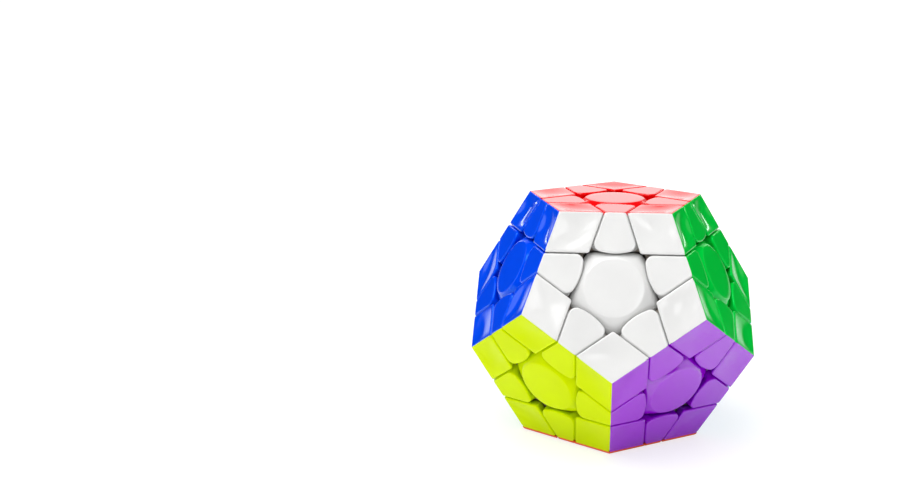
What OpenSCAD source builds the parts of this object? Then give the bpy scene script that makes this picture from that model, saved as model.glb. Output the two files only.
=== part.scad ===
// Dodecahedron twisty puzzle: twelve coloured faces, each with a turning layer of
// five corner pieces and five edge pieces round a centre that turns on the core.
// +Z is up. The origin is the middle of the bottom face. All sizes are in millimetres.

/* [Body] */
// Length of each edge of the dodecahedron
edge_length = 33; // [33:0.25:35]
// Depth of a turning layer below its face
layer_depth = 11.5; // [11.3:0.1:11.7]
// Gap between one piece and the next
piece_gap = 0.3; // [0.2:0.05:0.4]

/* [Coloured tiles] */
// Thickness of the tiles on the corner and edge pieces
tile_thickness = 3.6; // [3:0.2:4]
// Radius of the flat top of a centre cap
cap_top_r = 8.9; // [8.4:0.1:9.1]
// Outer radius of a centre cap's skirt at its foot
cap_foot_r = 11.6; // [11.3:0.1:11.7]
// Wall thickness of a centre cap
cap_wall = 1.4; // [1.2:0.1:1.5]
// Height of the bevel round a centre cap's top
cap_bevel = 0.5; // [0.3:0.1:0.7]

/* [Feet] */
// Half angle of the cone that bounds a layer below its cut plane
neck_cone = 42; // [41.8:0.1:42.2]
// Half angle of the wider cone that bounds the hooked feet
foot_cone = 48; // [47.6:0.1:48]
// Distance from the middle of the puzzle at which the feet hook under their neighbours
hook_r = 25; // [24.8:0.1:25.2]
// Height of the undersides of the feet from the middle of the puzzle
hollow_r = 16.5; // [16:0.25:17]
// Half angle of an edge piece's flange, along its edge
flange_along = 15; // [14.8:0.1:15.2]

/* [Core and axes] */
// Radius of the core's ball
core_r = 10.5; // [9:0.5:10.5]
// Radius of an arm of the core
arm_r = 2.6; // [2.4:0.1:2.8]
// Radius of the collar at the foot of an arm
collar_r = 4; // [3.6:0.1:4.2]
// Gap all round between an arm and the hub that turns on it
running_gap = 0.08; // [0.06:0.01:0.1]
// Radius of a screw's shank
screw_r = 1.25; // [1:0.05:1.4]
// Radius of a screw's head
screw_head_r = 2.6; // [2.2:0.1:2.8]
// Outer radius of a tension nut
nut_r = 6; // [5.8:0.1:6.4]

/* [Magnets] */
// Outer radius of the ring magnets on each axis
ring_r = 5; // [4.6:0.1:5]
// Inner radius of the ring magnets
ring_hole_r = 3.1; // [2.9:0.1:3.3]
// Thickness of a ring magnet
ring_thickness = 1.6; // [1.4:0.1:1.6]
// Air gap across which the two ring magnets push each other apart
lift_gap = 0.8; // [0.7:0.1:0.9]
// Radius of the small magnets in the corner and edge pieces
magnet_r = 1.5; // [1.2:0.1:1.6]
// Thickness of the small magnets
magnet_thickness = 1.6; // [1.2:0.1:1.8]
// Distance of the small magnets from the axis of the layer they face across
magnet_circle_r = 25.5; // [25.2:0.1:25.7]

/* [Hidden] */
$fn = 64;

// Angles of a dodecahedron
axis_angle = acos(1 / sqrt(5));            // between the axes of two faces that meet
edge_angle = axis_angle / 2;               // from a face's axis to the middle of its edge
vertex_angle = acos(sqrt((5 + 2 * sqrt(5)) / 15)); // from a face's axis to its corner
step = 360 / 5;                            // from one neighbour to the next

// The twelve faces: colour name, tilt of the axis from +Z, heading of the axis from -Y,
// twist about the axis that brings the first neighbour to local -Y
FACES = [
    ["red", 0, 0, 0],
    ["white", axis_angle, 0, step / 2],
    ["green", axis_angle, step, step / 2],
    ["cream", axis_angle, 2 * step, step / 2],
    ["pink", axis_angle, 3 * step, step / 2],
    ["blue", axis_angle, 4 * step, step / 2],
    ["yellow", 180 - axis_angle, -step / 2, 0],
    ["purple", 180 - axis_angle, step / 2, 0],
    ["sky", 180 - axis_angle, 3 * step / 2, 0],
    ["grey", 180 - axis_angle, 5 * step / 2, 0],
    ["lime", 180 - axis_angle, 7 * step / 2, 0],
    ["orange", 180, 0, 0]
];
FACE_COLOURS = [
    [0.78, 0.05, 0.08], [0.95, 0.95, 0.95], [0.0, 0.62, 0.1], [0.96, 0.92, 0.72],
    [0.98, 0.62, 0.72], [0.03, 0.3, 0.88], [0.87, 0.9, 0.1], [0.6, 0.32, 0.8],
    [0.4, 0.75, 0.95], [0.55, 0.56, 0.58], [0.55, 0.85, 0.2], [0.95, 0.42, 0.08]
];
FRAME_COLOUR = [0.58, 0.54, 0.5];
HUB_COLOUR = [0.5, 0.5, 0.52];
CORE_COLOUR = [0.85, 0.85, 0.88];
NUT_COLOUR = [0.1, 0.45, 0.75];
STEEL_COLOUR = [0.75, 0.76, 0.78];
MAGNET_COLOUR = [0.6, 0.61, 0.64];

// Faces whose whole layer turns in this model, and the number that stands for the core
FRONT = face_number("white");
REAR = face_number("cream");
BASE = face_number("orange");
CORE = -1;

// Heights along a face's axis, from the middle of the puzzle
golden = (1 + sqrt(5)) / 2;
face_z = edge_length * golden * golden / (2 * sqrt(3 - golden));
cut_z = face_z - layer_depth;
tile_z = face_z - tile_thickness;
clearance = piece_gap / 2;
seam = 0.03;                               // half the seam between parts fixed together
reach = 4 * edge_length;                   // longer than anything in the puzzle

// The feet. All that turns with a face stays inside its cones by the turning margin,
// and all that stays keeps out of them by as much.
turn_margin = 0.6;                         // degrees
foot_top_r = hook_r - piece_gap;
flange_r = hook_r + piece_gap;
corner_neck = neck_cone - vertex_angle - turn_margin;
corner_foot = foot_cone - vertex_angle - turn_margin;
corner_neck_top = cut_z / cos(vertex_angle) + 3;
foot_along = 90 - edge_angle - foot_cone - turn_margin;
foot_across = acos(cos(foot_cone) / cos(foot_along)) - edge_angle - turn_margin;
neck_across = acos(cos(neck_cone) / cos(flange_along)) - edge_angle - turn_margin;
edge_foot_top = foot_top_r / sqrt(1 + pow(tan(foot_along), 2) + pow(tan(foot_across), 2));

// The hub and what it carries
stem_half_angle = axis_angle - foot_cone;  // room left for a hub between the hooked feet
flange_half_angle = axis_angle - neck_cone;
stem_top_z = hollow_r * cos(stem_half_angle);
stem_r = cone_radius(stem_half_angle, stem_top_z, clearance);
flange_low_z = (hook_r + 2 * clearance) * cos(stem_half_angle);
flange_rim_z = (hook_r + 2 * clearance) * cos(flange_half_angle);
collar_z = 12.1;
hub_z = collar_z + 0.2;
arm_z = 21.5;
bowl_z = 25.4;
bowl_r = 8.2;
seat_z = 30.5;                             // where the cap's skirt stands on the hub
lip_h = 1.2;
lip_wall = 0.8;
lower_ring_z = 24;
upper_ring_z = lower_ring_z + ring_thickness + lift_gap;
nut_z = upper_ring_z + 0.4;
nut_floor_z = upper_ring_z + ring_thickness;
nut_top_z = nut_floor_z + 1.4;
screw_tip_z = 14;
screw_head_h = 1.6;
slot_w = 0.7;
slot_depth = 0.8;
magnet_wall = 0.6;                         // plastic between a small magnet and the gap
corner_magnet_z = cut_z + clearance + magnet_wall;
edge_magnet_z = cut_z - clearance - magnet_wall - magnet_thickness;

// ---- Where things are ----

function face_number(name) = [for (f = [0:len(FACES) - 1]) if (FACES[f][0] == name) f][0];

function turn_z(v, a) = [v.x * cos(a) - v.y * sin(a), v.x * sin(a) + v.y * cos(a), v.z];

function turn_x(v, a) = [v.x, v.y * cos(a) - v.z * sin(a), v.y * sin(a) + v.z * cos(a)];

// A direction in a face's own frame, given by its angle from the axis and its heading
function local_direction(polar, heading) = turn_z(turn_x([0, 0, 1], polar), heading);

function to_world(f, v) = turn_z(turn_x(turn_z(v, FACES[f][3]), FACES[f][1]), FACES[f][2]);

// The face that meets face f on its side number k
function neighbour(f, k) =
    let (side = to_world(f, local_direction(axis_angle, step * k)))
    [for (g = [0:len(FACES) - 1]) if (side * to_world(g, [0, 0, 1]) > 0.9) g][0];

function is_layer(f) = f == FRONT || f == REAR || f == BASE;

// The layer that holds a piece with tiles on the given faces, or the core
function owner(faces) =
    let (found = [for (f = faces) if (is_layer(f)) f])
    len(found) > 0 ? found[0] : CORE;

function corner_owner(f, k) = owner([f, neighbour(f, k), neighbour(f, k + 1)]);

function edge_owner(f, k) = owner([f, neighbour(f, k)]);

// The edge piece beyond corner k of face f, across that face's own cut
function far_edge_owner(f, k) = owner([neighbour(f, k), neighbour(f, k + 1)]);

module on_face(f) {
    translate([0, 0, face_z])
        rotate([FACES[f][1], 0, FACES[f][2]])
            rotate([0, 0, FACES[f][3]])
                children();
}

// ---- Building blocks, in a face's own frame ----

// Everything farther than a height along a direction
module beyond(polar, heading, height) {
    rotate([polar, 0, heading])
        translate([-reach / 2, -reach / 2, height])
            cube(reach);
}

// Everything nearer than a height along a direction
module within(polar, heading, height) {
    rotate([polar, 0, heading])
        translate([-reach / 2, -reach / 2, height - reach])
            cube(reach);
}

// The slab just under the face that its tiles are made of
module tile_slab() {
    translate([-reach / 2, -reach / 2, tile_z])
        cube([reach, reach, tile_thickness]);
}

// The side of the mitre plane that belongs to this face and not to its neighbour
module own_side_of_mitre(heading) {
    beyond(edge_angle - 90, heading, seam);
}

// Radius, at a height, of a cone round an axis through the middle, moved in by a margin
function cone_radius(half_angle, height, margin) =
    height * tan(half_angle) - margin / cos(half_angle);

// Radius at which the hub's lip fits inside the slanted skirt of the cap, at a height
function lip_r(height) = cap_top_r - cap_wall - 2 * seam
    + (face_z - cap_wall - height) * (cap_foot_r - cap_top_r) / (face_z - cap_wall - seat_z);

// ---- Building blocks of the edge pieces, in an edge's own frame ----
// Z points from the middle of the puzzle to the middle of the edge, +Y leans towards the
// face and -Y towards its neighbour, and X runs along the edge.

module on_edge() {
    rotate([edge_angle, 0, 0])
        children();
}

// The point, across the edge and up, at given heights along the axes of its two faces
function across_point(own_z, other_z) = [
    (own_z - other_z) / (2 * sin(edge_angle)),
    (own_z + other_z) / (2 * cos(edge_angle))
];

// How far an edge piece reaches along its edge, at a height, before the end layers begin
function along_limit(z) =
    (cut_z - clearance - z * sin(edge_angle)) / cos(edge_angle);

// A whole outline from the points of its right-hand half, listed upwards
function both_sides(points) = concat(
    points,
    [for (i = [len(points) - 1:-1:0]) [-points[i].x, points[i].y]]
);

// Everything with the given outline as seen along the edge
module seen_along_edge(points) {
    rotate([90, 0, 90])
        linear_extrude(height = reach, center = true)
            polygon(points);
}

// Everything with the given outline as seen across the edge
module seen_across_edge(points) {
    rotate([90, 0, 0])
        linear_extrude(height = reach, center = true)
            polygon(points);
}

// The room that an edge piece has along its edge: foot, flange, then the slanted ends
module edge_piece_length() {
    flange_top = (cut_z - clearance) / (tan(flange_along) * cos(edge_angle) + sin(edge_angle));
    top = face_z / cos(edge_angle) + 1;
    seen_across_edge(both_sides([
        [hollow_r * tan(foot_along), hollow_r],
        [flange_r * tan(foot_along), flange_r],
        [flange_r * tan(flange_along), flange_r],
        [flange_top * tan(flange_along), flange_top],
        [along_limit(top), top]
    ]));
}

// ---- Coloured tiles ----

module corner_tile() {
    intersection() {
        tile_slab();
        beyond(axis_angle, 0, cut_z + clearance);
        beyond(axis_angle, step, cut_z + clearance);
        own_side_of_mitre(0);
        own_side_of_mitre(step);
    }
}

module edge_tile() {
    on_edge()
        intersection() {
            edge_piece_length();
            seen_along_edge([
                [seam, (tile_z - seam * sin(edge_angle)) / cos(edge_angle)],
                across_point(tile_z, cut_z + clearance),
                across_point(face_z, cut_z + clearance),
                [seam, (face_z - seam * sin(edge_angle)) / cos(edge_angle)]
            ]);
        }
}

module centre_cap() {
    rotate_extrude()
        polygon([
            [0, face_z - cap_wall],
            [cap_top_r - cap_wall, face_z - cap_wall],
            [cap_foot_r - cap_wall, seat_z + seam],
            [cap_foot_r, seat_z + seam],
            [cap_top_r + cap_bevel, face_z - cap_bevel],
            [cap_top_r, face_z],
            [0, face_z]
        ]);
}

module corner_tiles(face, body) {
    color(FACE_COLOURS[face])
        on_face(face)
            for (k = [0:4]) {
                if (corner_owner(face, k) == body) {
                    rotate([0, 0, step * k]) corner_tile();
                }
            }
}

module edge_tiles(face, body) {
    color(FACE_COLOURS[face])
        on_face(face)
            for (k = [0:4]) {
                if (edge_owner(face, k) == body) {
                    rotate([0, 0, step * k]) edge_tile();
                }
            }
}

module cap(face) {
    color(FACE_COLOURS[face])
        on_face(face) centre_cap();
}

// The tiles of one colour that ride on one body
module side_tiles(name, body) {
    corner_tiles(face_number(name), body);
    edge_tiles(face_number(name), body);
}

// What the core keeps of one colour: its cap and the tiles in none of the three layers
module core_tiles(name) {
    side_tiles(name, CORE);
    cap(face_number(name));
}

// ---- Frames of the corner and edge pieces, with their hooked feet ----

module piece_magnet(height) {
    translate([0, 0, height])
        cylinder(r = magnet_r, h = magnet_thickness);
}

// Middle of the circle of small magnets next to corner k
module at_magnet(k) {
    rotate([0, 0, step * (k + 0.5)])
        translate([0, -magnet_circle_r, 0])
            children();
}

// A round pocket for a small magnet
module magnet_pocket(height) {
    translate([0, 0, height - seam])
        cylinder(r = magnet_r + seam, h = magnet_thickness + 2 * seam);
}

// A neck under the corner's block, ending in a round hooked foot, about the corner's axis
module corner_stem() {
    foot_top = foot_top_r * cos(corner_foot);
    rotate([vertex_angle, 0, step / 2])
        rotate_extrude()
            polygon([
                [0, hollow_r],
                [cone_radius(corner_foot, hollow_r, 0), hollow_r],
                [cone_radius(corner_foot, foot_top, 0), foot_top],
                [cone_radius(corner_neck, foot_top, 0), foot_top],
                [cone_radius(corner_neck, corner_neck_top, 0), corner_neck_top],
                [0, corner_neck_top]
            ]);
}

// The block that a corner's three tiles sit on
module corner_block() {
    intersection() {
        beyond(0, 0, cut_z + clearance);
        beyond(axis_angle, 0, cut_z + clearance);
        beyond(axis_angle, step, cut_z + clearance);
        within(0, 0, tile_z - seam);
        within(axis_angle, 0, tile_z - seam);
        within(axis_angle, step, tile_z - seam);
    }
}

// The frame of the corner piece between side 0 and side 1 of a face
module corner_frame() {
    difference() {
        union() {
            corner_block();
            corner_stem();
        }
        at_magnet(0) magnet_pocket(corner_magnet_z);
        for (side = [0, 1]) {
            rotate([axis_angle, 0, step * side])
                rotate([0, 0, step / 2])
                    at_magnet(side + 1) magnet_pocket(corner_magnet_z);
        }
    }
}

// The frame of the edge piece on side 0 of a face
module edge_frame() {
    low = cut_z + clearance;
    high = tile_z - seam;
    neck_top = low / (cos(edge_angle) - tan(neck_across) * sin(edge_angle));
    difference() {
        on_edge()
            intersection() {
                edge_piece_length();
                seen_along_edge(both_sides([
                    [hollow_r * tan(foot_across), hollow_r],
                    [edge_foot_top * tan(foot_across), edge_foot_top],
                    [edge_foot_top * tan(neck_across), edge_foot_top],
                    [neck_top * tan(neck_across), neck_top],
                    across_point(high, low),
                    across_point(high, high)
                ]));
            }
        for (side = [-1, 1]) {
            rotate([axis_angle, 0, step * side])
                rotate([0, 0, step / 2])
                    at_magnet(1.5 + side / 2) magnet_pocket(edge_magnet_z);
        }
    }
}

// Every corner piece is made once, from the first of its three faces
module corner_feet(body) {
    color(FRAME_COLOUR)
        for (f = [0:len(FACES) - 1], k = [0:4]) {
            if (f < neighbour(f, k) && f < neighbour(f, k + 1) && corner_owner(f, k) == body) {
                on_face(f) rotate([0, 0, step * k]) corner_frame();
            }
        }
}

// Every edge piece is made once, from the first of its two faces
module edge_feet(body) {
    color(FRAME_COLOUR)
        for (f = [0:len(FACES) - 1], k = [0:4]) {
            if (f < neighbour(f, k) && edge_owner(f, k) == body) {
                on_face(f) rotate([0, 0, step * k]) edge_frame();
            }
        }
}

// Small magnets that face each other across every face's cut
module piece_magnets(body) {
    color(MAGNET_COLOUR)
        for (f = [0:len(FACES) - 1], k = [0:4]) {
            if (corner_owner(f, k) == body) {
                on_face(f) at_magnet(k) piece_magnet(corner_magnet_z);
            }
            if (far_edge_owner(f, k) == body) {
                on_face(f) at_magnet(k) piece_magnet(edge_magnet_z);
            }
        }
}

// ---- Hubs, and what is on each axis ----

// A hub turns on an arm of the core. Its stem passes between the hooked feet, its flange
// keeps the edge pieces in, and its bowl holds the ring magnets and carries the cap.
module hub() {
    difference() {
        rotate_extrude()
            polygon([
                [arm_r + running_gap, hub_z],
                [stem_r, hub_z],
                [stem_r, stem_top_z],
                [cone_radius(stem_half_angle, flange_low_z, clearance), flange_low_z],
                [cone_radius(flange_half_angle, flange_rim_z, clearance), flange_rim_z],
                [cone_radius(flange_half_angle, seat_z, clearance), seat_z],
                [lip_r(seat_z), seat_z],
                [lip_r(seat_z + lip_h), seat_z + lip_h],
                [lip_r(seat_z + lip_h) - lip_wall, seat_z + lip_h],
                [bowl_r, bowl_z],
                [arm_r + running_gap, bowl_z]
            ]);
        translate([0, 0, lower_ring_z])
            cylinder(r = ring_r + seam, h = reach);
    }
}

module ring_magnet() {
    difference() {
        cylinder(r = ring_r, h = ring_thickness);
        translate([0, 0, -1])
            cylinder(r = ring_hole_r, h = ring_thickness + 2);
    }
}

// A cup that holds the upper ring magnet down under the screw's head
module tension_nut() {
    difference() {
        translate([0, 0, nut_z])
            cylinder(r = nut_r, h = nut_top_z - nut_z);
        translate([0, 0, nut_z - 1])
            cylinder(r = ring_r + seam, h = nut_floor_z + seam - nut_z + 1);
        translate([0, 0, nut_z])
            cylinder(r = screw_r + seam, h = nut_top_z);
    }
}

// A screw with a cross slot, its shank fixed in an arm of the core
module axis_screw() {
    translate([0, 0, screw_tip_z])
        cylinder(r = screw_r, h = nut_top_z + seam - screw_tip_z);
    difference() {
        translate([0, 0, nut_top_z + seam])
            cylinder(r = screw_head_r, h = screw_head_h);
        for (turn = [0, 90]) {
            rotate([0, 0, turn])
                translate([-slot_w / 2, -screw_head_r * 0.7, nut_top_z + screw_head_h - slot_depth])
                    cube([slot_w, screw_head_r * 1.4, 2 * slot_depth]);
        }
    }
}

// The ball with its twelve arms, each with a collar for the hub and a hole for the screw
module core() {
    color(CORE_COLOUR)
        difference() {
            union() {
                translate([0, 0, face_z])
                    sphere(r = core_r);
                for (f = [0:len(FACES) - 1]) {
                    on_face(f) core_arm();
                }
            }
            for (f = [0:len(FACES) - 1]) {
                on_face(f)
                    translate([0, 0, screw_tip_z])
                        cylinder(r = screw_r, h = arm_z);
            }
        }
}

// An arm and its collar, rooted inside the ball
module core_arm() {
    root_z = 0.8 * core_r;
    rotate_extrude()
        polygon([
            [0, root_z],
            [collar_r, root_z],
            [collar_r, collar_z],
            [arm_r, collar_z],
            [arm_r, arm_z],
            [0, arm_z]
        ]);
}

module hubs(body) {
    color(HUB_COLOUR)
        for (f = [0:len(FACES) - 1]) {
            if (owner([f]) == body) {
                on_face(f) hub();
            }
        }
}

module lower_ring_magnets(body) {
    color(MAGNET_COLOUR)
        for (f = [0:len(FACES) - 1]) {
            if (owner([f]) == body) {
                on_face(f) translate([0, 0, lower_ring_z + seam]) ring_magnet();
            }
        }
}

module upper_ring_magnets() {
    color(MAGNET_COLOUR)
        for (f = [0:len(FACES) - 1]) {
            on_face(f) translate([0, 0, upper_ring_z]) ring_magnet();
        }
}

module tension_nuts() {
    color(NUT_COLOUR)
        for (f = [0:len(FACES) - 1]) {
            on_face(f) tension_nut();
        }
}

module axis_screws() {
    color(STEEL_COLOUR)
        for (f = [0:len(FACES) - 1]) {
            on_face(f) axis_screw();
        }
}

// ---- The three layers that turn, and all that stays with the core ----

cap(FRONT);  // front_white_cap
corner_tiles(FRONT, FRONT);  // front_white_corner_tiles
edge_tiles(FRONT, FRONT);  // front_white_edge_tiles
side_tiles("red", FRONT);  // front_red_tiles
side_tiles("green", FRONT);  // front_green_tiles
side_tiles("purple", FRONT);  // front_purple_tiles
side_tiles("yellow", FRONT);  // front_yellow_tiles
side_tiles("blue", FRONT);  // front_blue_tiles
corner_feet(FRONT);  // front_corner_feet
edge_feet(FRONT);  // front_edge_feet
hubs(FRONT);  // front_hub
lower_ring_magnets(FRONT);  // front_lower_ring_magnet
piece_magnets(FRONT);  // front_piece_magnets

cap(REAR);  // rear_cream_cap
corner_tiles(REAR, REAR);  // rear_cream_corner_tiles
edge_tiles(REAR, REAR);  // rear_cream_edge_tiles
side_tiles("red", REAR);  // rear_red_tiles
side_tiles("green", REAR);  // rear_green_tiles
side_tiles("sky", REAR);  // rear_sky_tiles
side_tiles("grey", REAR);  // rear_grey_tiles
side_tiles("pink", REAR);  // rear_pink_tiles
corner_feet(REAR);  // rear_corner_feet
edge_feet(REAR);  // rear_edge_feet
hubs(REAR);  // rear_hub
lower_ring_magnets(REAR);  // rear_lower_ring_magnet
piece_magnets(REAR);  // rear_piece_magnets

cap(BASE);  // base_orange_cap
corner_tiles(BASE, BASE);  // base_orange_corner_tiles
edge_tiles(BASE, BASE);  // base_orange_edge_tiles
side_tiles("yellow", BASE);  // base_yellow_tiles
side_tiles("purple", BASE);  // base_purple_tiles
side_tiles("sky", BASE);  // base_sky_tiles
side_tiles("grey", BASE);  // base_grey_tiles
side_tiles("lime", BASE);  // base_lime_tiles
corner_feet(BASE);  // base_corner_feet
edge_feet(BASE);  // base_edge_feet
hubs(BASE);  // base_hub
lower_ring_magnets(BASE);  // base_lower_ring_magnet
piece_magnets(BASE);  // base_piece_magnets

core_tiles("red");  // red_tiles
core_tiles("green");  // green_tiles
core_tiles("pink");  // pink_tiles
core_tiles("blue");  // blue_tiles
core_tiles("yellow");  // yellow_tiles
core_tiles("purple");  // purple_tiles
core_tiles("sky");  // sky_tiles
core_tiles("grey");  // grey_tiles
core_tiles("lime");  // lime_tiles
corner_feet(CORE);
edge_feet(CORE);
hubs(CORE);
lower_ring_magnets(CORE);
piece_magnets(CORE);
core();
axis_screws();
tension_nuts();
upper_ring_magnets();
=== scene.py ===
"""Dodecahedron twisty puzzle: moulded tiles and caps over the frames, hubs and core."""
from math import acos, asin, atan2, cos, pi, radians, sin, sqrt, tan

import bpy
from mathutils import Matrix, Vector


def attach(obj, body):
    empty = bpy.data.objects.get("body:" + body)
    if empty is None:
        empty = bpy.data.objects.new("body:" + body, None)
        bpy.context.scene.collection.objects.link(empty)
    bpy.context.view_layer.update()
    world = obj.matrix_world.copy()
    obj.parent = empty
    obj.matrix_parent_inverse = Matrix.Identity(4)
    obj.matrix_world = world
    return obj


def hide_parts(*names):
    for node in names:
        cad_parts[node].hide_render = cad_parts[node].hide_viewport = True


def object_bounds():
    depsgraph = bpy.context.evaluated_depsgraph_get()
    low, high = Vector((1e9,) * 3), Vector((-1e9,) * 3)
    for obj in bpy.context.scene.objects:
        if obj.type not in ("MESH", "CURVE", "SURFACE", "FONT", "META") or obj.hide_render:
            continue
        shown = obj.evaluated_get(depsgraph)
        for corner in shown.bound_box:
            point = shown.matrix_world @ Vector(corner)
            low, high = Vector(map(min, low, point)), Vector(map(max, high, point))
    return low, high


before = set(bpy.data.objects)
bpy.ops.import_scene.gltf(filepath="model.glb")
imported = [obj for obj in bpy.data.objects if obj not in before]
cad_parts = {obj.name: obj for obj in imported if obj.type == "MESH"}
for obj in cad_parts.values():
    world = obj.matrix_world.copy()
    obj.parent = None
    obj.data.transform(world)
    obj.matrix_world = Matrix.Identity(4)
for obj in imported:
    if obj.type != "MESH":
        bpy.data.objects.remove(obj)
cad_low, cad_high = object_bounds()

MM = 0.001

# ---- The dodecahedron and its cuts ----

AXIS_ANGLE = acos(1 / sqrt(5))            # between the axes of two faces that meet
EDGE_ANGLE = AXIS_ANGLE / 2               # from a face's axis to one through its edge
STEP = 2 * pi / 5                         # from one neighbour of a face to the next
FACE_Z = (cad_high.z - cad_low.z) / 2     # from the middle of the puzzle to a face
LAYER_DEPTH = 11.5 * MM
CLEARANCE = 0.15 * MM                     # half the gap between pieces
CUT_Z = FACE_Z - LAYER_DEPTH
NECK_CONE = radians(42)                   # bounds a layer below its cut, round its axis
MITRE = FACE_Z * tan(EDGE_ANGLE)          # from a face's middle to its edges
CUT_OUT = (CUT_Z + CLEARANCE - FACE_Z * cos(AXIS_ANGLE)) / sin(AXIS_ANGLE)
CUT_IN = (CUT_Z - CLEARANCE - FACE_Z * cos(AXIS_ANGLE)) / sin(AXIS_ANGLE)

# Colour, tilt of the axis from +Z, heading of the axis from -Y, twist about the axis
FACES = [
    ("red", 0, 0, 0),
    ("white", AXIS_ANGLE, 0, STEP / 2),
    ("green", AXIS_ANGLE, STEP, STEP / 2),
    ("cream", AXIS_ANGLE, 2 * STEP, STEP / 2),
    ("pink", AXIS_ANGLE, 3 * STEP, STEP / 2),
    ("blue", AXIS_ANGLE, 4 * STEP, STEP / 2),
    ("yellow", pi - AXIS_ANGLE, -STEP / 2, 0),
    ("purple", pi - AXIS_ANGLE, STEP / 2, 0),
    ("sky", pi - AXIS_ANGLE, 3 * STEP / 2, 0),
    ("grey", pi - AXIS_ANGLE, 5 * STEP / 2, 0),
    ("lime", pi - AXIS_ANGLE, 7 * STEP / 2, 0),
    ("orange", pi, 0, 0),
]
LAYERS = {"white": "front", "cream": "rear", "orange": "base"}


def turned(face):
    """Rotation of a face's own frame, whose +Z is its axis and whose -Y is heading 0."""
    _, tilt, heading, twist = FACES[face]
    return (Matrix.Rotation(heading, 4, "Z") @ Matrix.Rotation(tilt, 4, "X")
            @ Matrix.Rotation(twist, 4, "Z"))


def neighbour(face, side):
    """The face that meets this one on its side number side."""
    out = (Matrix.Rotation(STEP * side, 4, "Z") @ Matrix.Rotation(AXIS_ANGLE, 4, "X")
           @ Vector((0, 0, 1)))
    out = turned(face) @ out
    return max(range(len(FACES)), key=lambda g: out.dot(turned(g) @ Vector((0, 0, 1))))


def owner(faces):
    """The colour of the turning layer that holds a piece with these faces, or None."""
    found = [FACES[f][0] for f in faces if FACES[f][0] in LAYERS]
    return found[0] if found else None


# ---- Outlines: places with their inward normals and the kinds of side they lie on ----
#
# A place is a point where two sides meet, a function of the inset on an arc, or a share of
# the way between its neighbours on a straight stretch.

# How far a side's wall moves inwards for each unit that it goes down
OVERHANG = 1 / tan(AXIS_ANGLE)            # a side that lies beyond a neighbour's cut
FLARE = -OVERHANG                         # a side that a neighbour's cut bounds outside
MITRED = "mitred"                         # half of a rounded edge, up to the next face's tile
WRAPPED = "wrapped"                       # the whole rounded edge belongs to this tile
YIELDED = "yielded"                       # the rounded edge belongs to the next face's tile

TILE_THICKNESS = 3.6 * MM
WALL_TOP = 1.0 * MM                       # depth at which the straight walls start
CUT_ROUND = 0.45 * MM                     # radius of the rounded top of a cut side
EDGE_ROUND = 0.55 * MM                    # radius of the rounded edges of the puzzle
WRAP_ROUND = 1.1 * MM                     # the same where one tile takes the whole edge
WRAP_FLAT = 0.4 * MM                      # how far that tile runs on up the next face
MITRE_GAP = 0.004 * MM                    # keeps two mitred tiles from sharing a surface
TIP_ROUND = 1.25 * MM                     # radius of a corner tile's inner tip
LEAST_ROUND = 0.05 * MM                   # what is left of it far down
END_ROUND = 16 * MM                       # radius of an edge tile's wide inner end
SHOULDER_ROUND = 2.4 * MM                 # radius of the two corners of that end
DISH_DEPTH = 0.6 * MM                     # how far the corner tiles are dished
DISH_POWER = 1.2                          # over 1, the dish eases out towards its rim
ROUND_STEPS = 5                           # rings down a rounded rim
TOP_RINGS = 11                            # rings from a tile's rim to its middle


def heading(angle):
    """Unit vector in a face's plane, at an angle from -Y towards +X."""
    return Vector((sin(angle), -cos(angle)))


def crossing(n1, d1, n2, d2):
    """The point p with n1.p = d1 and n2.p = d2."""
    det = n1.x * n2.y - n1.y * n2.x
    return Vector(((d1 * n2.y - d2 * n1.y) / det, (n1.x * d2 - n2.x * d1) / det))


def straight(normal, kind, count):
    """Points of a straight stretch, each as its share of the way between the two ends."""
    return [(i / (count + 1), [(normal, kind)]) for i in range(1, count + 1)]


def arc(fillet, start, end, kinds, count):
    """Points on an arc, by outward directions measured from +Y towards +X.

    Each is a function of its inset; fillet gives the arc's centre and radius there."""
    made = []
    for i in range(count + 1):
        share = i / count
        angle = start + (end - start) * share
        out = Vector((sin(angle), cos(angle)))
        kind = kinds[0] + (kinds[1] - kinds[0]) * share

        def place(inset, out=out):
            centre, radius = fillet(inset)
            return centre + out * radius
        made.append((place, [(-out, kind)]))
    return made


def round_about(centre, radius):
    """A fillet that keeps its centre."""
    return lambda inset: (centre, radius - inset)


def corner_outline(mitre0, mitre1):
    """The rhomb between side 0 and side 1, with a rounded inner tip."""
    side_points, tip_points = 14, 5
    h0, h1 = heading(0), heading(STEP)
    end_of_0 = crossing(h0, MITRE, h1, CUT_OUT)
    vertex = crossing(h0, MITRE, h1, MITRE)
    end_of_1 = crossing(h0, CUT_OUT, h1, MITRE)

    def tip(inset):
        """The fillet between the two cut sides, which turns almost sharp further down."""
        radius = max(TIP_ROUND - inset, LEAST_ROUND)
        across = CUT_OUT + inset + radius
        return crossing(h0, across, h1, across), radius
    points = arc(tip, 0, -STEP, (OVERHANG, OVERHANG), tip_points)
    points += straight(h1, OVERHANG, side_points)
    points += [(end_of_0, [(h1, OVERHANG), (-h0, mitre0)])]
    points += straight(-h0, mitre0, side_points)
    points += [(vertex, [(-h0, mitre0), (-h1, mitre1)])]
    points += straight(-h1, mitre1, side_points)
    points += [(end_of_1, [(-h1, mitre1), (h0, OVERHANG)])]
    points += straight(h0, OVERHANG, side_points)
    return points


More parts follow.
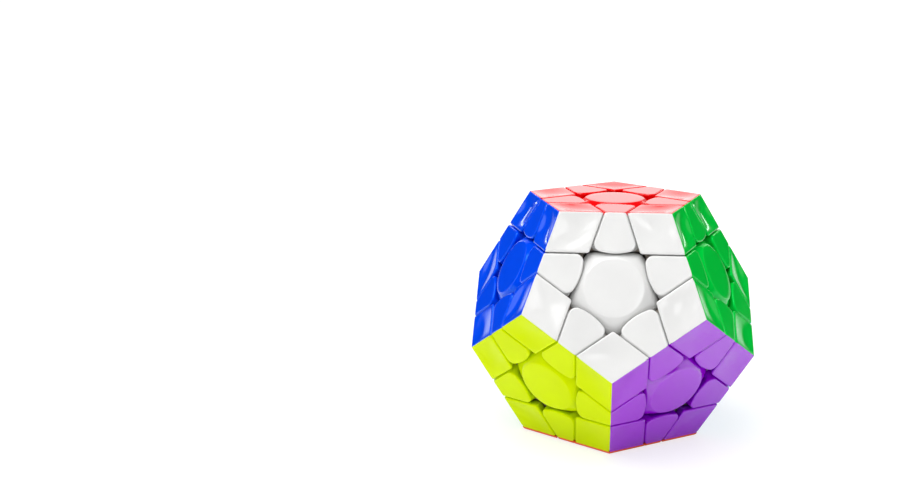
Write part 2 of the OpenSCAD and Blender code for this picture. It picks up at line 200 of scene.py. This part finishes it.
def edge_outline(mitre):
    """Narrow at the puzzle's edge on side 0, wide and rounded at the inner end."""
    outer_points, side_points, shoulder_points, end_points = 7, 11, 8, 10
    h0, right, left = heading(0), heading(STEP), heading(-STEP)
    end_centre = h0 * (CUT_OUT + END_ROUND)
    # Each shoulder's arc touches the side next to it and lies inside the end's arc
    lean = STEP - pi / 2
    reach = CUT_IN - SHOULDER_ROUND + sin(-lean) * end_centre.y
    turn = -lean + asin(reach / (END_ROUND - SHOULDER_ROUND))
    out = Vector((sin(turn), cos(turn))) * (END_ROUND - SHOULDER_ROUND)
    centre_right = end_centre + out
    centre_left = Vector((-centre_right.x, centre_right.y))
    foot_right = crossing(h0, MITRE, right, CUT_IN)
    foot_left = crossing(h0, MITRE, left, CUT_IN)
    side_angle = pi - STEP
    points = [(foot_left, [(-left, FLARE), (-h0, mitre)])]
    points += straight(-h0, mitre, outer_points)
    points += [(foot_right, [(-h0, mitre), (-right, FLARE)])]
    points += straight(-right, FLARE, side_points)
    points += arc(round_about(centre_right, SHOULDER_ROUND), side_angle, turn,
                  (FLARE, OVERHANG), shoulder_points)
    points += arc(round_about(end_centre, END_ROUND), turn, -turn,
                  (OVERHANG, OVERHANG), end_points)[1:-1]
    points += arc(round_about(centre_left, SHOULDER_ROUND), -turn, -side_angle,
                  (OVERHANG, FLARE), shoulder_points)
    points += straight(-left, FLARE, side_points)
    return points


# ---- Meshes ----

SHARP = radians(40)                       # edges that bend by more than this stay crisp


def wall_step(kind, depth):
    """Inset of a straight wall at a depth."""
    if kind in (MITRED, WRAPPED, YIELDED):
        return depth * tan(EDGE_ANGLE) + MITRE_GAP
    return depth * kind


def round_step(kind, share):
    """Inset and depth on the rounded top of a side, from its wall (0) to the top (1)."""
    if kind == YIELDED:
        inset = WRAP_ROUND * tan(EDGE_ANGLE) + WRAP_FLAT + MITRE_GAP
        return inset, WALL_TOP * (1 - share)
    if kind == WRAPPED:
        turn = (1 - share) * ROUND_STEPS / (ROUND_STEPS - 1)
        angle, flat = (AXIS_ANGLE, WRAP_FLAT) if turn > 1 else (AXIS_ANGLE * turn, 0)
        inset = WRAP_ROUND * (tan(EDGE_ANGLE) - sin(angle)) - flat * cos(AXIS_ANGLE)
        return inset, WRAP_ROUND * (1 - cos(angle)) + flat * sin(AXIS_ANGLE)
    if kind == MITRED:
        angle = EDGE_ANGLE * (1 - share)
        inset = EDGE_ROUND * (tan(EDGE_ANGLE) - sin(angle)) + MITRE_GAP * (1 - share)
        return inset, EDGE_ROUND * (1 - cos(angle))
    inner = atan2(1, kind)
    angle = (pi - inner) * (1 - share)
    inset = CUT_ROUND * (1 / tan(inner / 2) - sin(angle))
    return inset, CUT_ROUND * (1 - cos(angle))


def ring(outline, step):
    """One ring of a tile: every outline point moved in and down by step(kind)."""
    moved, fixed = [], []
    for place, sides in outline:
        moves = [step(kind) for _, kind in sides]
        depth = max(down for _, down in moves)
        insets = [max(inset, wall_step(kind, depth)) if kind == MITRED else inset
                  for (_, kind), (inset, _) in zip(sides, moves)]
        moved.append((insets[0], depth))
        if isinstance(place, float):
            continue
        if len(sides) == 1:
            fixed.append((place(0), place(insets[0])))
        else:
            shift = crossing(sides[0][0], insets[0], sides[1][0], insets[1])
            fixed.append((place, place + shift))
    fixed.append(fixed[0])
    points, passed = [], -1
    for (share, sides), (inset, depth) in zip(outline, moved):
        if isinstance(share, float):
            (place, start), (_, end) = fixed[passed], fixed[passed + 1]
            normal = sides[0][0]
            flat = start.lerp(end, share)
            flat += normal * (normal.dot(place - flat) + inset)
        else:
            passed += 1
            flat = fixed[passed][1]
        points.append(Vector((flat.x, flat.y, FACE_Z - depth)))
    return points


def dished(rim):
    """Depth of a corner tile's top below its rim, as a function of the place."""
    sides = [heading(0), heading(STEP)]
    flats = [Vector((p.x, p.y)) for p in rim]
    spans = [(min(p.dot(h) for p in flats), max(p.dot(h) for p in flats)) for h in sides]

    def at(x, y):
        share = 1.0
        for h, (low, high) in zip(sides, spans):
            across = (2 * Vector((x, y)).dot(h) - low - high) / (high - low)
            share *= max(0.0, 1 - across * across)
        return DISH_DEPTH * share ** DISH_POWER
    return at


def flat(rim):
    """The same for an edge tile, whose top isn't dished."""
    return lambda x, y: 0.0


def tile_rings(outline, sink_from):
    """Rings from a tile's flat foot over its rounded rim, and the middle of its top."""
    rings = [ring(outline, lambda kind, d=d: (wall_step(kind, d), d))
             for d in (TILE_THICKNESS, WALL_TOP)]
    for i in range(ROUND_STEPS + 1):
        rings.append(ring(outline, lambda kind, s=i / ROUND_STEPS: round_step(kind, s)))
    rim = rings[-1]
    sink = sink_from(rim)
    middle = sum(rim, Vector((0, 0, 0))) / len(rim)
    for i in range(1, TOP_RINGS):
        share = 1 - i / TOP_RINGS
        inner = [middle.lerp(p, share) for p in rim]
        rings.append([Vector((p.x, p.y, FACE_Z - sink(p.x, p.y))) for p in inner])
    top = Vector((middle.x, middle.y, FACE_Z - sink(middle.x, middle.y)))
    return rings, top


def ring_mesh(name, rings, end, start=None):
    """A closed mesh of rings, from a start point or a flat first ring to an end point."""
    count = len(rings[0])
    points = [p for r in rings for p in r] + [end]
    last = len(points) - 1
    faces = []
    if start is None:
        faces.append(tuple(reversed(range(count))))
    else:
        points.append(start)
        faces += [(last + 1, (i + 1) % count, i) for i in range(count)]
    for low in range(0, last - count, count):
        high = low + count
        for i in range(count):
            j = (i + 1) % count
            faces.append((low + i, low + j, high + j, high + i))
    high = last - count
    faces += [(high + i, high + (i + 1) % count, last) for i in range(count)]
    mesh = bpy.data.meshes.new(name)
    mesh.from_pydata([tuple(p) for p in points], [], faces)
    mesh.shade_smooth()
    mesh.set_sharp_from_angle(angle=SHARP)
    mesh.validate()
    return mesh


# Depth and radius of each ring of a cap in mm: up the inside, then up the outside. Where a
# radius reaches past the neighbours' cuts, the ring follows them and ends in five webs.
CAP_INSIDE = [(1.5, 7.0), (1.9, 7.6), (3.2, 8.4), (4.8, 9.4), (6.2, 10.2)]
CAP_OUTSIDE = [
    (6.2, 13.9), (5.5, 14.1), (4.7, 14.0), (3.9, 13.7), (3.2, 13.2), (2.5, 12.5), (1.9, 11.75),
    (1.4, 11.0), (1.0, 10.35), (0.7, 9.85), (0.46, 9.5), (0.26, 9.22), (0.12, 9.0), (0.03, 8.75),
    (0.0, 8.5),
]
CAP_CEILING = 1.4 * MM                    # depth of the middle of a cap's inside
CAP_MARGIN = 0.05 * MM                    # between a cap's skirt and the clearance of a cut
CAP_POINTS = 80                           # round each ring
CAP_TOP = (0.75, 0.5, 0.25)               # rings of the flat top, as shares of its rim
WEB_SHARPNESS = 18                        # how sharply the circle turns into the pentagon


def cap_mesh(name):
    """A centre cap: a flat disc whose rounded rim runs into a skirt with five webs."""
    def cap_ring(depth, radius):
        """The smooth minimum of a circle and the pentagon that the neighbours leave."""
        height = FACE_Z - depth * MM
        under_cut = CUT_IN + depth * MM * OVERHANG
        under_neck = height * tan(AXIS_ANGLE - NECK_CONE) - CLEARANCE
        side = min(under_cut, under_neck) - CAP_MARGIN
        points = []
        for i in range(CAP_POINTS):
            angle = 2 * pi * i / CAP_POINTS
            off_side = (angle + STEP / 2) % STEP - STEP / 2
            reach = (cos(off_side) / side) ** WEB_SHARPNESS + (radius * MM) ** -WEB_SHARPNESS
            out = heading(angle) * reach ** (-1 / WEB_SHARPNESS)
            points.append(Vector((out.x, out.y, height)))
        return points
    rings = [cap_ring(*row) for row in CAP_INSIDE + CAP_OUTSIDE]
    rim = rings[-1]
    for share in CAP_TOP:
        rings.append([Vector((p.x * share, p.y * share, FACE_Z)) for p in rim])
    ceiling = Vector((0, 0, FACE_Z - CAP_CEILING))
    return ring_mesh(name, rings, Vector((0, 0, FACE_Z)), start=ceiling)


# ---- Materials ----

NOISE_LOW, NOISE_HIGH = 0.3, 0.7          # the range in which most of a noise's values lie
METAL_SPREAD = 0.12                       # how much rougher a metal's roughest marks are


def linear(red, green, blue):
    """A screen colour, 0 to 255, as the linear colour that shaders take."""
    made = []
    for part in (red, green, blue):
        part /= 255
        made.append(part / 12.92 if part <= 0.04045 else ((part + 0.055) / 1.055) ** 2.4)
    return made


def new_material(name):
    material = bpy.data.materials.new(name)
    material.use_nodes = True
    nodes, links = material.node_tree.nodes, material.node_tree.links
    return material, nodes, links, nodes["Principled BSDF"]


def noise(nodes, links, scale, detail):
    place = nodes.new("ShaderNodeTexCoord")
    texture = nodes.new("ShaderNodeTexNoise")
    texture.inputs["Scale"].default_value = scale
    texture.inputs["Detail"].default_value = detail
    links.new(place.outputs["Object"], texture.inputs["Vector"])
    return texture.outputs["Fac"]


def remapped(nodes, links, source, low, high):
    """A noise value spread between low and high."""
    spread = nodes.new("ShaderNodeMapRange")
    spread.inputs["From Min"].default_value = NOISE_LOW
    spread.inputs["From Max"].default_value = NOISE_HIGH
    spread.inputs["To Min"].default_value = low
    spread.inputs["To Max"].default_value = high
    links.new(source, spread.inputs["Value"])
    return spread.outputs["Result"]


def two_tones(nodes, links, source, tones, socket):
    """Colours a socket from one tone to the other along a noise value."""
    ramp = nodes.new("ShaderNodeValToRGB")
    for element, place, tone in zip(ramp.color_ramp.elements, (NOISE_LOW, NOISE_HIGH), tones):
        element.position = place
        element.color = (*tone, 1)
    links.new(source, ramp.inputs["Fac"])
    links.new(ramp.outputs["Color"], socket)


def bumped(nodes, links, shader, source, strength, distance):
    bump = nodes.new("ShaderNodeBump")
    bump.inputs["Strength"].default_value = strength
    bump.inputs["Distance"].default_value = distance
    links.new(source, bump.inputs["Height"])
    links.new(bump.outputs["Normal"], shader.inputs["Normal"])


def mottled(name, tone, shade, patches, rough, finish, grain, strength, distance):
    """A material with noise in its colour, its roughness and its bump.

    shade is how dark the second tone is beside the first, and rough the range of roughness.
    patches, finish and grain are the scale and detail of the three noises."""
    material, nodes, links, shader = new_material(name)
    darker = [part * shade for part in tone]
    two_tones(nodes, links, noise(nodes, links, *patches), (darker, tone),
              shader.inputs["Base Color"])
    links.new(remapped(nodes, links, noise(nodes, links, *finish), *rough),
              shader.inputs["Roughness"])
    bumped(nodes, links, shader, noise(nodes, links, *grain), strength, distance)
    return material, shader


def gloss_plastic(name, tone, tint=(1, 1, 1), gloss=0.5, ior=1.5):
    """Polished moulded plastic, coloured right through."""
    material, shader = mottled(name, tone, shade=0.93, patches=(70, 3.0), rough=(0.06, 0.1),
                               finish=(220, 2.0), grain=(350, 1.0), strength=0.015,
                               distance=0.1 * MM)
    shader.inputs["IOR"].default_value = ior
    shader.inputs["Specular IOR Level"].default_value = gloss
    shader.inputs["Specular Tint"].default_value = (*tint, 1)
    return material


def satin_plastic(name, tone):
    """Fine spark-eroded mould texture."""
    material, _ = mottled(name, tone, shade=0.8, patches=(150, 3.0), rough=(0.35, 0.5),
                          finish=(600, 4.0), grain=(4000, 2.0), strength=0.15,
                          distance=0.05 * MM)
    return material


def metal(name, tone, smoothest):
    """Plated or machined metal with faint marks."""
    material, shader = mottled(name, tone, shade=0.85, patches=(400, 4.0),
                               rough=(smoothest, smoothest + METAL_SPREAD),
                               finish=(900, 3.0), grain=(2500, 2.0), strength=0.08,
                               distance=0.03 * MM)
    shader.inputs["Metallic"].default_value = 1.0
    return material


PLASTICS = {
    "red": gloss_plastic("red_plastic", linear(238, 12, 16)),
    "white": gloss_plastic("white_plastic", linear(225, 225, 224)),
    "green": gloss_plastic("green_plastic", linear(0, 206, 64), tint=(0.05, 1, 0.6)),
    "cream": gloss_plastic("cream_plastic", linear(246, 232, 176)),
    "pink": gloss_plastic("pink_plastic", linear(250, 150, 182)),
    "blue": gloss_plastic("blue_plastic", linear(0, 71, 230), tint=(0.05, 0.75, 1)),
    "yellow": gloss_plastic("yellow_plastic", linear(212, 234, 0), tint=(1, 1, 0), gloss=0.1),
    "purple": gloss_plastic("purple_plastic", linear(158, 8, 216), gloss=1.0, ior=1.6),
    "sky": gloss_plastic("sky_plastic", linear(96, 190, 240)),
    "grey": gloss_plastic("grey_plastic", linear(140, 142, 146)),
    "lime": gloss_plastic("lime_plastic", linear(120, 214, 40)),
    "orange": gloss_plastic("orange_plastic", linear(250, 84, 10)),
}


# ---- Tiles and caps ----

WRAPPING = ("orange",)              # faces whose tiles take the rounded edges whole


def edge_kind(face, side):
    """How a tile ends at the puzzle's edge on one side of its face."""
    if FACES[face][0] in WRAPPING:
        return WRAPPED
    return YIELDED if FACES[neighbour(face, side)][0] in WRAPPING else MITRED


shapes = {}                         # the meshes, by how they end at the puzzle's edges


def corner_tile(*kinds):
    if kinds not in shapes:
        shapes[kinds] = ring_mesh("corner_tile", *tile_rings(corner_outline(*kinds), dished))
    return shapes[kinds]


def edge_tile(kind):
    if kind not in shapes:
        shapes[kind] = ring_mesh("edge_tile", *tile_rings(edge_outline(kind), flat))
    return shapes[kind]


def place_piece(name, shape, face, turn, layer, kind):
    """One moulded piece: its own mesh, material and body; the CAD node it stands for is hidden.
    """
    colour = FACES[face][0]
    mesh = shape.copy()
    mesh.name = name
    mesh.materials.append(PLASTICS[colour])
    mesh.transform(Matrix.Translation((0, 0, FACE_Z)) @ turned(face)
                   @ Matrix.Rotation(turn, 4, "Z"))
    piece = bpy.data.objects.new(name, mesh)
    bpy.context.scene.collection.objects.link(piece)
    if layer is None:
        body, node = "core_body", f"{colour}_tiles"
    else:
        body, node = f"{LAYERS[layer]}_layer", f"{LAYERS[layer]}_{colour}_{kind}"
    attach(piece, body)
    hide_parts(node)


cap = cap_mesh("centre_cap")
for face, (colour, *_) in enumerate(FACES):
    on_layer = colour in LAYERS
    place_piece(f"{colour}_cap", cap, face, 0, owner([face]), "cap")
    for side in range(5):
        near, far = neighbour(face, side), neighbour(face, side + 1)
        place_piece(f"{colour}_corner_{side + 1}",
                    corner_tile(edge_kind(face, side), edge_kind(face, side + 1)),
                    face, STEP * side, owner([face, near, far]),
                    "corner_tiles" if on_layer else "tiles")
        place_piece(f"{colour}_edge_{side + 1}", edge_tile(edge_kind(face, side)),
                    face, STEP * side, owner([face, near]),
                    "edge_tiles" if on_layer else "tiles")

# ---- What stays from the CAD model: frames, hubs, core, screws and magnets ----

INSIDE = {
    "feet": satin_plastic("frame_grey", linear(148, 138, 128)),
    "hub": satin_plastic("hub_grey", linear(126, 126, 130)),
    "core": satin_plastic("core_white", linear(222, 222, 226)),
    "nut": satin_plastic("nut_blue", linear(30, 110, 190)),
    "magnet": metal("magnet_nickel", linear(214, 214, 218), smoothest=0.14),
    "screw": metal("screw_steel", linear(196, 196, 200), smoothest=0.28),
}
for name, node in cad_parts.items():
    for word, material in INSIDE.items():
        if word in name:
            for slot in node.material_slots:
                slot.material = material

# ---- Floor, light and camera ----

MIDDLE = (cad_low + cad_high) / 2


def area_light(name, place, size, power):
    """A rectangle of light that faces the object."""
    light = bpy.data.lights.new(name, "AREA")
    light.shape = "RECTANGLE"
    light.size, light.size_y = size
    light.energy = power
    lamp = bpy.data.objects.new(name, light)
    lamp.location = place
    lamp.rotation_euler = (MIDDLE - Vector(place)).to_track_quat("-Z", "Y").to_euler()
    lamp.visible_camera = False
    bpy.context.scene.collection.objects.link(lamp)
    return lamp


FLOOR_HALF = 4.0
FLOOR_TONE = 0.9
FLOOR_ROUGHNESS = 0.6
FLOOR_SPECULAR = 0.2
FLOOR_GLOW = 0.08                         # a trace of light in the floor's own shadows
FLOOR_WHITENING = 0.6                     # how much plain white the camera sees mixed in
# How bright that white is near the object, where the shadow lies, and further out, and
# the distances in metres between which it grows
WHITE_NEAR, WHITE_FAR = 1.13, 1.5
NEAR, FAR = 0.05, 0.5

floor_mesh = bpy.data.meshes.new("floor")
floor_mesh.from_pydata([(x * FLOOR_HALF, y * FLOOR_HALF, 0)
                        for x, y in ((-1, -1), (1, -1), (1, 1), (-1, 1))], [], [(0, 1, 2, 3)])
floor = bpy.data.objects.new("floor", floor_mesh)
floor.location.z = cad_low.z
bpy.context.scene.collection.objects.link(floor)
floor_material, floor_nodes, floor_links, floor_shader = new_material("floor")
floor_shader.inputs["Base Color"].default_value = (FLOOR_TONE, FLOOR_TONE, FLOOR_TONE, 1)
floor_shader.inputs["Roughness"].default_value = FLOOR_ROUGHNESS
floor_shader.inputs["Specular IOR Level"].default_value = FLOOR_SPECULAR
floor_shader.inputs["Emission Color"].default_value = (1, 1, 1, 1)
floor_shader.inputs["Emission Strength"].default_value = FLOOR_GLOW
floor_ray = floor_nodes.new("ShaderNodeLightPath")
whitening = floor_nodes.new("ShaderNodeMath")
whitening.operation = "MULTIPLY"
whitening.inputs[1].default_value = FLOOR_WHITENING
floor_links.new(floor_ray.outputs["Is Camera Ray"], whitening.inputs[0])
white = floor_nodes.new("ShaderNodeEmission")
floor_place = floor_nodes.new("ShaderNodeTexCoord")
floor_distance = floor_nodes.new("ShaderNodeVectorMath")
floor_distance.operation = "LENGTH"
floor_links.new(floor_place.outputs["Object"], floor_distance.inputs[0])
brighter = floor_nodes.new("ShaderNodeMapRange")
for socket, value in zip(("From Min", "From Max", "To Min", "To Max"),
                         (NEAR, FAR, WHITE_NEAR, WHITE_FAR)):
    brighter.inputs[socket].default_value = value
floor_links.new(floor_distance.outputs["Value"], brighter.inputs["Value"])
floor_links.new(brighter.outputs["Result"], white.inputs["Strength"])
floor_mix = floor_nodes.new("ShaderNodeMixShader")
floor_links.new(whitening.outputs["Value"], floor_mix.inputs["Fac"])
floor_links.new(floor_shader.outputs["BSDF"], floor_mix.inputs[1])
floor_links.new(white.outputs["Emission"], floor_mix.inputs[2])
floor_links.new(floor_mix.outputs["Shader"], floor_nodes["Material Output"].inputs["Surface"])
floor_mesh.materials.append(floor_material)

# Name, place and size in metres, and power in watts
LIGHTS = [
    ("top_softbox", (-0.2, -0.15, 0.95), (0.9, 0.9), 10),
    ("front_fill", (-0.1, -1.0, 0.5), (0.8, 0.8), 1.4),
    ("front_left_softbox", (-0.3, -0.85, 0.72), (0.2, 0.24), 0.4),
    ("front_right_softbox", (0.2, -0.92, 0.66), (0.18, 0.2), 0.3),
    ("rear_panel", (0, 0.95, 0.32), (0.44, 0.5), 0.75),
    ("rear_glow", (0, 1.05, 0.42), (1.5, 0.7), 1.5),
    ("left_glow", (-1.05, 0.5, 0.3), (0.6, 0.8), 1.3),
    ("right_glow", (1.05, 0.5, 0.3), (0.6, 0.8), 0.6),
    ("rear_left_strip", (-0.57, 0.95, 0.3), (0.03, 0.45), 0.22),
    ("rear_right_strip", (0.57, 0.95, 0.3), (0.03, 0.45), 0.22),
]
for row in LIGHTS:
    lamp = area_light(*row)
    lamp.visible_glossy = row[0] != "front_fill"    # the fill isn't mirrored in the gloss

# How bright the studio round the object is for each kind of ray
BACKDROP, REFLECTED, AMBIENT = 1.0, 0.01, 0.4
world = bpy.data.worlds.new("studio")
bpy.context.scene.world = world
world.use_nodes = True
sky = world.node_tree
sky.nodes.clear()
light_path = sky.nodes.new("ShaderNodeLightPath")


def surroundings(strength):
    """The studio round the object, with one brightness all over."""
    light = sky.nodes.new("ShaderNodeBackground")
    light.inputs["Color"].default_value = (1, 1, 1, 1)
    light.inputs["Strength"].default_value = strength
    return light.outputs["Background"]


def chosen(ray, otherwise, shown):
    """One brightness for a kind of ray, and the other for the rest."""
    mixed = sky.nodes.new("ShaderNodeMixShader")
    sky.links.new(light_path.outputs[ray], mixed.inputs["Fac"])
    sky.links.new(otherwise, mixed.inputs[1])
    sky.links.new(shown, mixed.inputs[2])
    return mixed.outputs["Shader"]


dim = chosen("Is Glossy Ray", surroundings(AMBIENT), surroundings(REFLECTED))
output = sky.nodes.new("ShaderNodeOutputWorld")
sky.links.new(chosen("Is Camera Ray", dim, surroundings(BACKDROP)), output.inputs["Surface"])

# The camera: its lens and sensor in mm, its place from the puzzle's middle in mm, and how
# far it looks down and to the left in degrees
LENS, SENSOR = 58.2, 36
CAMERA_PLACE = (-5.4, -444.5, 123.0)
LOOK_DOWN, LOOK_LEFT = 13.12, 5.89

camera_data = bpy.data.cameras.new("camera")
camera_data.lens = LENS
camera_data.sensor_width = SENSOR
camera = bpy.data.objects.new("camera", camera_data)
camera.location = MIDDLE + Vector(CAMERA_PLACE) * MM
camera.rotation_euler = (radians(90 - LOOK_DOWN), 0, radians(LOOK_LEFT))
bpy.context.scene.collection.objects.link(camera)
bpy.context.scene.camera = camera
bpy.context.scene.view_settings.view_transform = "Standard"
